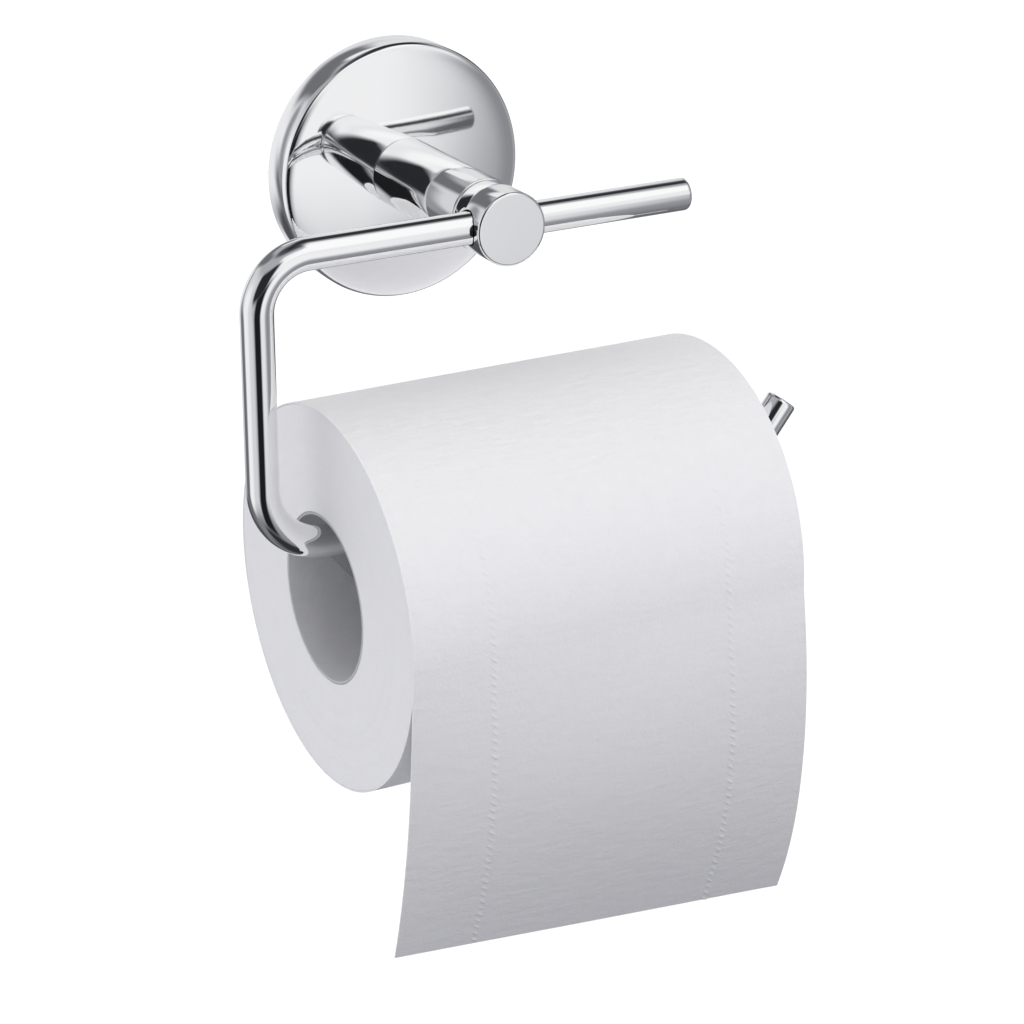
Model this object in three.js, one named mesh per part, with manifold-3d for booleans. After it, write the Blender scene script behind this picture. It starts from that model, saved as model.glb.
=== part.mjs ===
// Wall-mounted toilet paper holder with a loaded roll, in millimetres, +Z up.
// The wall is the plane y = 0 and everything in front of it has a negative y. The origin is the
// flange's centre on the wall, the post stands out along -Y, and the bar and the roll run along X.
import * as THREE from "three";
import { mergeVertices } from "three/addons/utils/BufferGeometryUtils.js";
import Module from "manifold-3d";

const wasm = await Module();
wasm.setup();

// Clearance between pieces that touch in the real holder.
const GAP = 0.3;

// Flange cover: a turned cup with a plain rim, a small bevel and a shallow dome that falls away
// faster from EDGE_START to its edge.
const FLANGE_RADIUS = 32.5;
const FLANGE_SIDE_DEPTH = 8.3;
const FLANGE_FACE_RADIUS = 32;
const FLANGE_FACE_DEPTH = 9.4;
const DOME_RISE = 1.56;
const EDGE_START = 23;
const EDGE_DROP = 0.42;
const EDGE_POWER = 5;
const FLANGE_SKIN = 1.6;
const RIM_INNER_RADIUS = 30.1;

// Post and head: two bars of one diameter with a groove between them, which a thin ring fills.
const POST_RADIUS = 9;
const POST_END = 53.2;
const HEAD_START = 54.2;
const HEAD_END = 66.9;
const EDGE_BREAK = 0.3;
const HEAD_BEVEL = 0.5;

// Bent bar: right stub, left run, leg, lower run and upturned tip, all at one distance from the wall.
// The lower run rises a little from the leg to the tip, so the roll hangs on its right end.
const BAR_RADIUS = 4;
const BAR_FROM_WALL = 60.5;
const BEND_RADIUS = 13;
const LOWER_BEND_RADIUS = 16;
const STUB_END_X = 51.1;
const LEG_X = -63.2;
const LOWER_RUN_LEFT_Z = -71.8;
const LOWER_RUN_RIGHT_Z = -70.3;
const TIP_ANGLE = THREE.MathUtils.degToRad(52);
const TIP_END_X = 81.1;
const TIP_END_Z = -58.4;

// Roll: a card core, the wound paper and its outermost turn.
const ROLL_Z = -86.5;
const ROLL_RADIUS = 47.6;
const ROLL_LEFT = -48.2;
const ROLL_RIGHT = 57.7;
const SHEET_THICKNESS = 0.4;
const CORE_INNER_RADIUS = 20.35;
const CORE_WALL = 0.75;
const WRAP_TURN = THREE.MathUtils.degToRad(344);

// Hanging sheet: how deep it hangs at its left edge, and how much deeper at its right edge. It bows
// out from the wall at the right and leans towards it at the left, and its foot curls back. It takes
// its lean up over the share SHEET_ROOM of its length, and most of it in the upper half.
const SHEET_DEPTH = 80.9;
const SHEET_SKEW = 5.5;
const SHEET_LEAN = -1.6;
const SHEET_TWIST = 4.4;
const SHEET_CURL = 11.8;
const SHEET_CURL_TWIST = 1;
const SHEET_CURL_POWER = 2.7;
const SHEET_ROOM = 0.04;
const SHEET_EARLY = 0.9;

// Wall bracket: a cup with two screw slots, hidden inside the flange.
const BRACKET_PLATE = 2.2;
const BRACKET_DEPTH = 7.2;
const BRACKET_RADIUS = 29.7;
const BRACKET_INNER_RADIUS = 27.2;
const WALL_SCREW_X = 12;
const WALL_SCREW_RADIUS = 2;
const WALL_SCREW_HEAD_RADIUS = 4;
const WALL_SCREW_HEAD_HEIGHT = 2.5;
const WALL_SCREW_DEPTH = 25.5;
const PLUG_START = 2.4;
const PLUG_LENGTH = 22;
const PLUG_RADIUS = 2.9;
const PLUG_BARB = 0.4;
const PLUG_COLLAR_RADIUS = 3.6;
const PLUG_COLLAR_LENGTH = 1.6;

// Small fasteners between flange, post, head and bar.
const BOLT_RADIUS = 2.5;
const BOLT_DEPTH = 24.5;
const BOLT_HEAD_RADIUS = 4.6;
const BOLT_HEAD_HEIGHT = 2.8;
const WASHER_RADIUS = 4.4;
const WASHER_THICKNESS = 1.3;
const PIN_RADIUS = 1.25;
const PIN_LENGTH = 6.5;
const PIN_IN_FLANGE = 3;
const PIN_OFFSET = 6.6;
const STUD_RADIUS = 3;
const STUD_START = 43;
const SET_SCREW_RADIUS = 2;
const SET_SCREW_LENGTH = 4.5;
const SET_SCREW_FROM_WALL = 4.8;
const SET_SCREW_SUNK = 0.3;
const SPACER_RADIUS = 8.8;

const ROUND = 48;
const SMALL_ROUND = 20;

const FACE_PAD_RADIUS = POST_RADIUS + GAP;
const ROLL_LENGTH = ROLL_RIGHT - ROLL_LEFT;
const ROLL_MIDDLE = (ROLL_LEFT + ROLL_RIGHT) / 2;
const WINDING_RADIUS = ROLL_RADIUS - SHEET_THICKNESS - GAP;

const chrome = () => new THREE.MeshStandardMaterial({ color: 0xd9dce0, roughness: 0.08, metalness: 1 });
const steel = () => new THREE.MeshStandardMaterial({ color: 0xa9abab, roughness: 0.4, metalness: 1 });
const nylon = () => new THREE.MeshStandardMaterial({ color: 0xc9c7c0, roughness: 0.6, metalness: 0 });
const card = () => new THREE.MeshStandardMaterial({ color: 0xb9b3aa, roughness: 0.9, metalness: 0 });
const paper = () => new THREE.MeshStandardMaterial({ color: 0xeceef2, roughness: 0.95, metalness: 0 });

// A closed geometry as a manifold solid, and back. Triangles that close to a line are dropped.
function solidOf(geometry) {
  const bare = geometry.clone();
  bare.deleteAttribute("normal");
  bare.deleteAttribute("uv");
  const merged = mergeVertices(bare, 1e-4);
  const index = merged.index.array;
  const kept = [];
  for (let i = 0; i < index.length; i += 3) {
    const [a, b, c] = [index[i], index[i + 1], index[i + 2]];
    if (a !== b && b !== c && c !== a) kept.push(a, b, c);
  }
  const vertProperties = new Float32Array(merged.attributes.position.array);
  return new wasm.Manifold(new wasm.Mesh({ numProp: 3, vertProperties, triVerts: new Uint32Array(kept) }));
}

function geometryOf(solid) {
  const mesh = solid.getMesh();
  const geometry = new THREE.BufferGeometry();
  geometry.setAttribute("position", new THREE.BufferAttribute(mesh.vertProperties, 3));
  geometry.setIndex(new THREE.BufferAttribute(mesh.triVerts, 1));
  return geometry;
}

function cut(geometry, ...tools) {
  let solid = solidOf(geometry);
  for (const tool of tools) {
    solid = solid.subtract(solidOf(tool));
  }
  return geometryOf(solid);
}

// A piece turned about the Y axis. The profile holds [radius, y] points and keeps the solid on its left.
function turned(profile, segments = ROUND) {
  return new THREE.LatheGeometry(profile.map(([radius, y]) => new THREE.Vector2(radius, y)), segments);
}

// A ring about the Y axis from one y to another.
function ring(innerRadius, outerRadius, low, high, segments = ROUND) {
  const corners = [[innerRadius, low], [outerRadius, low], [outerRadius, high], [innerRadius, high]];
  return turned([...corners, corners[0]], segments);
}

// A round or hexagonal cutter about the Y axis.
function drill(radius, low, high, segments = SMALL_ROUND) {
  const cutter = new THREE.CylinderGeometry(radius, radius, high - low, segments);
  return cutter.translate(0, (low + high) / 2, 0);
}

// Turns a geometry made about the Y axis so that its axis runs along X.
function alongX(geometry) {
  return geometry.rotateZ(-Math.PI / 2);
}

// Maps an outline drawn in Y and Z, extruded along its own depth, onto the roll's X direction.
function acrossRoll(geometry) {
  const axes = [new THREE.Vector3(0, 1, 0), new THREE.Vector3(0, 0, 1), new THREE.Vector3(1, 0, 0)];
  return geometry.applyMatrix4(new THREE.Matrix4().makeBasis(...axes));
}

const holder = new THREE.Group();

function add(name, geometry, material, parent = holder) {
  const mesh = new THREE.Mesh(geometry, material);
  mesh.name = name;
  parent.add(mesh);
  return mesh;
}

// Wall bracket, with a slot for each wall screw and a hole for the flange's set screw.
function slot(x, halfWidth, halfLength) {
  const outline = new THREE.Shape();
  outline.absarc(0, halfLength - halfWidth, halfWidth, 0, Math.PI, false);
  outline.absarc(0, halfWidth - halfLength, halfWidth, Math.PI, 2 * Math.PI, false);
  const depth = 2 * BRACKET_DEPTH;
  const cutter = new THREE.ExtrudeGeometry(outline, { depth, bevelEnabled: false, curveSegments: 6 });
  return cutter.rotateX(Math.PI / 2).translate(x, BRACKET_DEPTH, 0);
}

// The set screw's hole and the screw itself stand on a radius that points down, at one depth.
function downwards(geometry) {
  return geometry.rotateX(Math.PI / 2).translate(0, -SET_SCREW_FROM_WALL, 0);
}

const bracketProfile = [
  [0, -BRACKET_PLATE],
  [BRACKET_INNER_RADIUS, -BRACKET_PLATE],
  [BRACKET_INNER_RADIUS, -BRACKET_DEPTH],
  [BRACKET_RADIUS, -BRACKET_DEPTH],
  [BRACKET_RADIUS, 0],
  [0, 0],
];
const slotHalfWidth = WALL_SCREW_RADIUS + GAP + 0.1;
const setScrewHole = () => downwards(drill(SET_SCREW_RADIUS + GAP, -1.2 * FLANGE_RADIUS, -0.7 * FLANGE_RADIUS));
add("wall_bracket", cut(
  turned(bracketProfile),
  slot(-WALL_SCREW_X, slotHalfWidth, 2 * slotHalfWidth),
  slot(WALL_SCREW_X, slotHalfWidth, 2 * slotHalfWidth),
  setScrewHole(),
), steel());

// Wall screws with a crossed recess, each in a nylon plug that is split along most of its length.
function wallScrew() {
  const seat = -BRACKET_PLATE - GAP;
  const top = seat - WALL_SCREW_HEAD_HEIGHT;
  const profile = [
    [0, top],
    [0.55 * WALL_SCREW_HEAD_RADIUS, top + 0.1],
    [0.88 * WALL_SCREW_HEAD_RADIUS, top + 0.7],
    [WALL_SCREW_HEAD_RADIUS, top + 1.6],
    [WALL_SCREW_HEAD_RADIUS, seat],
    [WALL_SCREW_RADIUS, seat],
    [WALL_SCREW_RADIUS, WALL_SCREW_DEPTH - 5],
    [0.3, WALL_SCREW_DEPTH],
    [0, WALL_SCREW_DEPTH],
  ];
  const recessLength = 1.1 * WALL_SCREW_HEAD_RADIUS;
  const recess = new THREE.BoxGeometry(recessLength, 3, 1).translate(0, top, 0);
  const crossed = recess.clone().rotateY(Math.PI / 2);
  return cut(turned(profile, SMALL_ROUND), recess, crossed);
}

function wallPlug() {
  const bore = WALL_SCREW_RADIUS + GAP;
  const end = PLUG_START + PLUG_LENGTH;
  const profile = [[bore, PLUG_START], [PLUG_COLLAR_RADIUS, PLUG_START]];
  profile.push([PLUG_COLLAR_RADIUS, PLUG_START + PLUG_COLLAR_LENGTH]);
  const barbs = 4;
  const pitch = (PLUG_LENGTH - PLUG_COLLAR_LENGTH) / barbs;
  for (let barb = 0; barb < barbs; barb++) {
    const foot = PLUG_START + PLUG_COLLAR_LENGTH + barb * pitch;
    profile.push([PLUG_RADIUS, foot]);
    profile.push([PLUG_RADIUS + PLUG_BARB, foot + 0.9 * pitch]);
  }
  profile.push([PLUG_RADIUS, end], [bore, end], [bore, PLUG_START]);
  const slitLength = 0.75 * PLUG_LENGTH;
  const slit = new THREE.BoxGeometry(3 * PLUG_RADIUS, slitLength, 1).translate(0, end - slitLength / 2 + 1, 0);
  return cut(turned(profile, SMALL_ROUND), slit);
}

for (const [side, x] of [["left", -WALL_SCREW_X], ["right", WALL_SCREW_X]]) {
  add("bracket_screw_" + side, wallScrew(), steel()).position.x = x;
  add("wall_plug_" + side, wallPlug(), nylon()).position.x = x;
}

// Flange cover. Its face is flat under the post and falls away to the bevel as a shallow dome.
function domeDepth(radius) {
  const dome = DOME_RISE * (1 - (radius / FLANGE_FACE_RADIUS) ** 2);
  const nearEdge = Math.max(0, (radius - EDGE_START) / (FLANGE_FACE_RADIUS - EDGE_START));
  return FLANGE_FACE_DEPTH + dome + EDGE_DROP * (1 - nearEdge ** EDGE_POWER);
}

function domeArc(inset, outerRadius, steps) {
  const points = [];
  for (let step = 0; step <= steps; step++) {
    const radius = THREE.MathUtils.lerp(FACE_PAD_RADIUS, outerRadius, step / steps);
    points.push([radius, inset - domeDepth(radius)]);
  }
  return points;
}

const boltHole = BOLT_RADIUS + GAP;
const padDepth = domeDepth(FACE_PAD_RADIUS);
const flangeProfile = [
  [boltHole, -padDepth],
  ...domeArc(0, FLANGE_FACE_RADIUS, 8),
  [FLANGE_RADIUS, -FLANGE_SIDE_DEPTH],
  [FLANGE_RADIUS, 0],
  [RIM_INNER_RADIUS, 0],
  ...domeArc(FLANGE_SKIN, RIM_INNER_RADIUS, 5).reverse(),
  [boltHole, FLANGE_SKIN - padDepth],
  [boltHole, -padDepth],
];
const pinHole = (low, high) => drill(PIN_RADIUS + GAP, low, high, SMALL_ROUND).translate(0, 0, PIN_OFFSET);
add("flange_cover", cut(
  turned(flangeProfile, 60),
  setScrewHole(),
  pinHole(-padDepth - 1, 0),
), chrome());

const setScrewLow = SET_SCREW_SUNK - FLANGE_RADIUS;
const setScrew = cut(
  drill(SET_SCREW_RADIUS, setScrewLow, setScrewLow + SET_SCREW_LENGTH),
  drill(1.1, setScrewLow - 1, setScrewLow + 0.45 * SET_SCREW_LENGTH, 6),
);
add("flange_set_screw", downwards(setScrew), steel());

// Post: threaded for its bolt at the back and for the head's stud at the front.
const studHole = STUD_RADIUS + GAP;
const postStart = padDepth + GAP;
const postProfile = [
  [0, GAP - STUD_START],
  [studHole, GAP - STUD_START],
  [studHole, -POST_END],
  [POST_RADIUS - EDGE_BREAK, -POST_END],
  [POST_RADIUS, EDGE_BREAK - POST_END],
  [POST_RADIUS, -postStart],
  [boltHole, -postStart],
  [boltHole, -BOLT_DEPTH - GAP],
  [0, -BOLT_DEPTH - GAP],
];
const pinEnd = postStart + PIN_LENGTH - PIN_IN_FLANGE;
add("post", cut(turned(postProfile), pinHole(-pinEnd - GAP, 0)), chrome());

// The post's bolt and its split lock washer, inside the flange.
const washerFace = -(padDepth - FLANGE_SKIN - GAP);
const boltSeat = washerFace + WASHER_THICKNESS + GAP;
const boltProfile = [
  [0, -BOLT_DEPTH],
  [BOLT_RADIUS - 0.4, -BOLT_DEPTH],
  [BOLT_RADIUS, 0.4 - BOLT_DEPTH],
  [BOLT_RADIUS, boltSeat],
  [BOLT_HEAD_RADIUS, boltSeat],
  [BOLT_HEAD_RADIUS, boltSeat + 0.35 * BOLT_HEAD_HEIGHT],
  [0.7 * BOLT_HEAD_RADIUS, boltSeat + 0.9 * BOLT_HEAD_HEIGHT],
  [0, boltSeat + BOLT_HEAD_HEIGHT],
];
const boltSocket = drill(1.7, boltSeat + 0.4 * BOLT_HEAD_HEIGHT, boltSeat + 1.5 * BOLT_HEAD_HEIGHT, 6);
add("post_bolt", cut(turned(boltProfile, SMALL_ROUND), boltSocket), steel());

const washer = ring(boltHole, WASHER_RADIUS, washerFace, washerFace + WASHER_THICKNESS, SMALL_ROUND);
const washerSplit = new THREE.BoxGeometry(0.8, 3 * WASHER_THICKNESS, WASHER_RADIUS);
washerSplit.rotateZ(0.5).translate(0, washerFace + WASHER_THICKNESS / 2, -0.85 * WASHER_RADIUS);
add("post_washer", cut(washer, washerSplit), steel());

const pin = drill(PIN_RADIUS, -pinEnd, PIN_LENGTH - pinEnd).translate(0, 0, PIN_OFFSET);
add("locating_pin", pin, steel());

// Plated ring in the groove, and the stud that joins post and head and pinches the bar.
add("spacer_ring", ring(studHole, SPACER_RADIUS, GAP - HEAD_START, -POST_END - GAP), chrome());

const studEnd = BAR_FROM_WALL - BAR_RADIUS - GAP - 0.1;
const studProfile = [
  [0, -studEnd],
  [STUD_RADIUS - 0.8, -studEnd],
  [STUD_RADIUS, 0.8 - studEnd],
  [STUD_RADIUS, -STUD_START - 0.4],
  [STUD_RADIUS - 0.4, -STUD_START],
  [0, -STUD_START],
];
add("head_stud", turned(studProfile, SMALL_ROUND), steel());

// Head, cross-bored for the bar.
const headProfile = [
  [0, -HEAD_END],
  [POST_RADIUS - HEAD_BEVEL, -HEAD_END],
  [POST_RADIUS, HEAD_BEVEL - HEAD_END],
  [POST_RADIUS, -HEAD_START - EDGE_BREAK],
  [POST_RADIUS - EDGE_BREAK, -HEAD_START],
  [studHole, -HEAD_START],
  [studHole, -BAR_FROM_WALL],
  [0, -BAR_FROM_WALL],
];
const crossBore = alongX(drill(BAR_RADIUS + GAP, -2 * POST_RADIUS, 2 * POST_RADIUS, ROUND / 2));
add("head", cut(turned(headProfile), crossBore.translate(0, -BAR_FROM_WALL, 0)), chrome());

// A bar bent at its corners, each to its own radius. Its stations are one for each end and an even
// row of them round each bend, so that one extrusion step joins each station to the next.
class BentBar extends THREE.Curve {
  constructor(corners, bendRadii, stepsPerBend) {
    super();
    this.stations = [corners[0]];
    for (let i = 1; i < corners.length - 1; i++) {
      const back = corners[i - 1].clone().sub(corners[i]).normalize();
      const ahead = corners[i + 1].clone().sub(corners[i]).normalize();
      const halfAngle = back.angleTo(ahead) / 2;
      const inward = back.clone().add(ahead).normalize();
      const bendRadius = bendRadii[i - 1];
      const centre = corners[i].clone().addScaledVector(inward, bendRadius / Math.sin(halfAngle));
      const start = corners[i].clone().addScaledVector(back, bendRadius / Math.tan(halfAngle));
      const spoke = start.sub(centre);
      const axis = new THREE.Vector3().crossVectors(ahead, back).normalize();
      for (let step = 0; step <= stepsPerBend; step++) {
        const turn = (Math.PI - 2 * halfAngle) * (step / stepsPerBend);
        this.stations.push(spoke.clone().applyAxisAngle(axis, turn).add(centre));
      }
    }
    this.stations.push(corners[corners.length - 1]);
  }

  getPoint(t, target = new THREE.Vector3()) {
    const place = t * (this.stations.length - 1);
    const index = Math.min(Math.floor(place), this.stations.length - 2);
    return target.lerpVectors(this.stations[index], this.stations[index + 1], place - index);
  }

  getPointAt(u, target) {
    return this.getPoint(u, target);
  }

  getTangentAt(u, target) {
    return this.getTangent(u, target);
  }
}

const tipCornerX = TIP_END_X - (TIP_END_Z - LOWER_RUN_RIGHT_Z) / Math.tan(TIP_ANGLE);
const barCorners = [
  [STUB_END_X, 0],
  [LEG_X, 0],
  [LEG_X, LOWER_RUN_LEFT_Z],
  [tipCornerX, LOWER_RUN_RIGHT_Z],
  [TIP_END_X, TIP_END_Z],
].map(([x, z]) => new THREE.Vector3(x, -BAR_FROM_WALL, z));
const barPath = new BentBar(barCorners, [BEND_RADIUS, LOWER_BEND_RADIUS, BEND_RADIUS], 8);
const barSection = new THREE.Shape().absarc(0, 0, BAR_RADIUS, 0, 2 * Math.PI, false);
const barSteps = barPath.stations.length - 1;
const bar = new THREE.ExtrudeGeometry(barSection, { steps: barSteps, extrudePath: barPath, curveSegments: 11 });
add("holder_arm", bar, chrome());

// Roll: everything in this group is placed about the roll's own axis.
const roll = new THREE.Group();
roll.position.set(0, -BAR_FROM_WALL, ROLL_Z);
holder.add(roll);

function rollRing(innerRadius, outerRadius, segments) {
  return alongX(ring(innerRadius, outerRadius, -ROLL_LENGTH / 2, ROLL_LENGTH / 2, segments));
}

const coreOuterRadius = CORE_INNER_RADIUS + CORE_WALL;
add("core_tube", rollRing(CORE_INNER_RADIUS, coreOuterRadius, ROUND), card(), roll).position.x = ROLL_MIDDLE;
add("paper_winding", rollRing(coreOuterRadius + GAP, WINDING_RADIUS, 64), paper(), roll).position.x = ROLL_MIDDLE;

// The outermost turn starts where the sheet leaves the roll, at the front, and goes back over the top.
const wrapOutline = new THREE.Shape();
const wrapEnd = Math.PI - WRAP_TURN;
wrapOutline.absarc(0, 0, ROLL_RADIUS, Math.PI, wrapEnd, true);
wrapOutline.absarc(0, 0, ROLL_RADIUS - SHEET_THICKNESS, wrapEnd, Math.PI, false);
const wrap = new THREE.ExtrudeGeometry(wrapOutline, { depth: ROLL_LENGTH, bevelEnabled: false, curveSegments: 30 });
add("outer_wrap", acrossRoll(wrap), paper(), roll).position.x = ROLL_LEFT;

// The hanging sheet is a flat slab, laid along its own fall. Across runs from -1 at its left edge to 1.
// It leaves the roll straight down and takes up its lean over the first few millimetres.
function sheetPlace(depth, across) {
  const fall = depth / (SHEET_DEPTH + SHEET_SKEW / 2);
  const start = 1 - Math.exp(-fall / SHEET_ROOM);
  const lean = (SHEET_LEAN - SHEET_TWIST * across) * fall * (1 + SHEET_EARLY * (1 - fall)) * start;
  const curl = (SHEET_CURL + SHEET_CURL_TWIST * across) * fall ** SHEET_CURL_POWER;
  return { y: lean + curl - ROLL_RADIUS + SHEET_THICKNESS / 2, z: -depth };
}

const sheet = new THREE.BoxGeometry(ROLL_LENGTH, SHEET_THICKNESS, 1, 6, 1, 14);
const corner = new THREE.Vector3();
for (let i = 0; i < sheet.attributes.position.count; i++) {
  corner.fromBufferAttribute(sheet.attributes.position, i);
  const across = (2 * corner.x) / ROLL_LENGTH;
  const share = 0.5 - corner.z;
  const place = sheetPlace(GAP + share * (SHEET_DEPTH + (SHEET_SKEW * (1 + across)) / 2 - GAP), across);
  sheet.attributes.position.setXYZ(i, corner.x, place.y + corner.y, place.z);
}
add("hanging_sheet", sheet, paper(), roll).position.x = ROLL_MIDDLE;

export default holder;
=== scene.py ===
import math
import random

import bpy
from mathutils import Matrix, Vector, noise


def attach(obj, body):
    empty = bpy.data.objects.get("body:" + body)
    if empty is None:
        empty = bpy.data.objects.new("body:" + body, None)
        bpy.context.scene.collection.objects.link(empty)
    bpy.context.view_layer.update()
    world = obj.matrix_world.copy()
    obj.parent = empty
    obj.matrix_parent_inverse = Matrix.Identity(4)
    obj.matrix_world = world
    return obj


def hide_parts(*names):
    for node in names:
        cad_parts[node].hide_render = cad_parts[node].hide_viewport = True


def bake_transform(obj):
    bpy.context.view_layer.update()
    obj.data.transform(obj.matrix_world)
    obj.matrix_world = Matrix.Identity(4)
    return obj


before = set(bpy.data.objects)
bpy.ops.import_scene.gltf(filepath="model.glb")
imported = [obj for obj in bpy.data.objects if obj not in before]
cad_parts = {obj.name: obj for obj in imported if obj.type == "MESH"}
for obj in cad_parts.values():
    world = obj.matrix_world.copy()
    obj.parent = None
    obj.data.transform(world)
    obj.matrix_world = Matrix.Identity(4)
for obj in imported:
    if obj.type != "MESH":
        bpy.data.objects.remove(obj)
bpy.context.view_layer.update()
bpy.ops.object.select_all(action="DESELECT")

# ---------------------------------------------------------------------------------------------
# Camera. It stands left of the holder, a little above it and about 0.83 m away. Its lens is long,
# so that lines that run away from it meet only slowly.
# ---------------------------------------------------------------------------------------------
CAMERA_PLACE = (-0.34917, -0.71524, 0.22173)
CAMERA_AZIMUTH = 28.28
CAMERA_DIP = 21.70
CAMERA_ROLL = -0.25
CAMERA_LENS = 114.7
camera = bpy.data.objects.new("camera", bpy.data.cameras.new("camera"))
bpy.context.scene.collection.objects.link(camera)
camera.data.lens = CAMERA_LENS
camera.data.sensor_width = 36
camera.data.clip_start = 0.02
camera.data.clip_end = 30
camera.location = CAMERA_PLACE
turn = Matrix.Rotation(math.radians(-CAMERA_AZIMUTH), 4, "Z")
dip = Matrix.Rotation(math.radians(90 - CAMERA_DIP), 4, "X")
roll_turn = Matrix.Rotation(math.radians(CAMERA_ROLL), 4, "Z")
camera.rotation_euler = (turn @ dip @ roll_turn).to_euler()
bpy.context.scene.camera = camera
bpy.context.scene.view_settings.view_transform = "Standard"

# ---------------------------------------------------------------------------------------------
# Floor. A plain white floor as far below the holder as a bathroom's floor is. The camera sees it
# nearly white, and it keeps the holder's soft shadow.
# ---------------------------------------------------------------------------------------------
FLOOR_Z = -0.75
FLOOR_SIZE = 12
FLOOR_GLOW = 0.35
bpy.ops.mesh.primitive_plane_add(size=FLOOR_SIZE, location=(0, 0, FLOOR_Z))
floor = bpy.context.object
floor.name = "floor"
floor_paint = bpy.data.materials.new("floor_paint")
floor_paint.use_nodes = True
tree = floor_paint.node_tree
shader = tree.nodes["Principled BSDF"]
shader.inputs["Base Color"].default_value = (0.9, 0.9, 0.9, 1)
shader.inputs["Roughness"].default_value = 0.9
light_path = tree.nodes.new("ShaderNodeLightPath")
lift = tree.nodes.new("ShaderNodeMath")
lift.operation = "MULTIPLY"
lift.inputs[1].default_value = FLOOR_GLOW
tree.links.new(light_path.outputs["Is Camera Ray"], lift.inputs[0])
shader.inputs["Emission Color"].default_value = (1, 1, 1, 1)
tree.links.new(lift.outputs[0], shader.inputs["Emission Strength"])
floor.data.materials.append(floor_paint)
floor.visible_glossy = False
floor.visible_diffuse = False

# ---------------------------------------------------------------------------------------------
# Studio. The world is white to the camera. To matte surfaces it is an even soft light, and to
# metal it is a grey room with soft boxes, pale walls and black flags.
# ---------------------------------------------------------------------------------------------
world = bpy.data.worlds.new("studio")
bpy.context.scene.world = world
world.use_nodes = True
tree = world.node_tree
tree.nodes.clear()


def world_math(operation, a, b=None, c=None, clamp=False):
    """One step of arithmetic in the world's tree, on numbers or on sockets."""
    node = tree.nodes.new("ShaderNodeMath")
    node.operation = operation
    node.use_clamp = clamp
    for socket, value in zip(node.inputs, (a, b, c)):
        if isinstance(value, (int, float)):
            socket.default_value = value
        elif value is not None:
            tree.links.new(value, socket)
    return node.outputs[0]


def world_ramp(value, low, high, stops):
    """Grey levels over an angle in degrees, from (angle, level) pairs."""
    share = world_math("DIVIDE", world_math("SUBTRACT", value, low), high - low, clamp=True)
    node = tree.nodes.new("ShaderNodeValToRGB")
    node.color_ramp.interpolation = "EASE"
    while len(node.color_ramp.elements) < len(stops):
        node.color_ramp.elements.new(0.5)
    for element, (angle, level) in zip(node.color_ramp.elements, stops):
        element.position = (angle - low) / (high - low)
        element.color = (level, level, level, 1)
    tree.links.new(share, node.inputs[0])
    separate = tree.nodes.new("ShaderNodeSeparateColor")
    tree.links.new(node.outputs[0], separate.inputs[0])
    return separate.outputs[0]


def world_mix(share, a, b):
    """A where the share is 0, and B where it is 1."""
    first = world_math("MULTIPLY", world_math("SUBTRACT", 1, share), a)
    return world_math("ADD", first, world_math("MULTIPLY", share, b))


direction = tree.nodes.new("ShaderNodeTexCoord").outputs["Generated"]
split = tree.nodes.new("ShaderNodeSeparateXYZ")
tree.links.new(direction, split.inputs[0])
dir_x, dir_y, dir_z = split.outputs
rise = world_math("DEGREES", world_math("ARCSINE", dir_z))
# 0 degrees is towards the front, and positive angles go to the right.
bearing = world_math("DEGREES", world_math("ARCTAN2", dir_x, world_math("MULTIPLY", dir_y, -1)))


def panel(light, middle, half, soft, level, lean=0.0):
    """A soft-edged panel of one level over the light behind it, at a bearing and a height in degrees.

    Half holds its half width and half height, and lean moves its middle with height."""
    axis = world_math("MULTIPLY_ADD", rise, -lean, lean * middle[1] - middle[0])
    across = world_math("PINGPONG", world_math("ADD", bearing, axis), 180)
    over = world_math("ABSOLUTE", world_math("SUBTRACT", rise, middle[1]))
    in_width = world_math("MULTIPLY_ADD", across, -1 / soft, 1 + half[0] / soft, clamp=True)
    in_height = world_math("MULTIPLY_ADD", over, -1 / soft, 1 + half[1] / soft, clamp=True)
    cover = tree.nodes.new("ShaderNodeMapRange")
    cover.interpolation_type = "SMOOTHSTEP"
    tree.links.new(world_math("MULTIPLY", in_width, in_height), cover.inputs[0])
    mix = tree.nodes.new("ShaderNodeMix")
    tree.links.new(cover.outputs[0], mix.inputs[0])
    tree.links.new(light, mix.inputs[2])
    mix.inputs[3].default_value = level
    return mix.outputs[0]


light = world_ramp(rise, -90, 90, [
    (-90, 0.03), (-60, 0.20), (-35, 0.28), (-15, 0.42), (5, 0.50),
    (30, 0.60), (45, 0.40), (62, 0.40), (75, 0.08), (90, 0.02)])
# The left wall, and the lit part of it.
light = panel(light, (-115, 0), (40, 25), 25, 0.66, lean=-0.6)
light = panel(light, (-103, -8), (8, 18), 22, 0.88)
# The large soft box in front, and its upper edge.
light = panel(light, (7, 0), (15, 13), 20, 0.89)
light = panel(light, (11, 38), (20, 9), 14, 0.92, lean=-0.3)
# The right wall, darker next to the soft box.
light = panel(light, (85, 5), (25, 28), 22, 0.38)
light = panel(light, (50, -2), (4, 20), 16, 0.26)
# A small and a large soft box at the upper right.
light = panel(light, (37, 18), (6, 4), 14, 0.85)
light = panel(light, (43, 48), (15, 13), 19, 0.99, lean=1.2)
# Two black flags left of the camera, one low and one high.
light = panel(light, (-23, -24), (14, 23), 13, 0.012, lean=0.2)
light = panel(light, (-36, 20), (21, 14), 11, 0.022)
# The dark floor in front.
light = panel(light, (-10, -77), (60, 15), 13, 0.03)
# The dark ceiling and the dark corner behind the holder, on the right.
light = panel(light, (134, 62), (17, 12), 22, 0.03, lean=0.8)
light = panel(light, (120, -15), (25, 33), 13, 0.12, lean=0.5)
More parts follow.
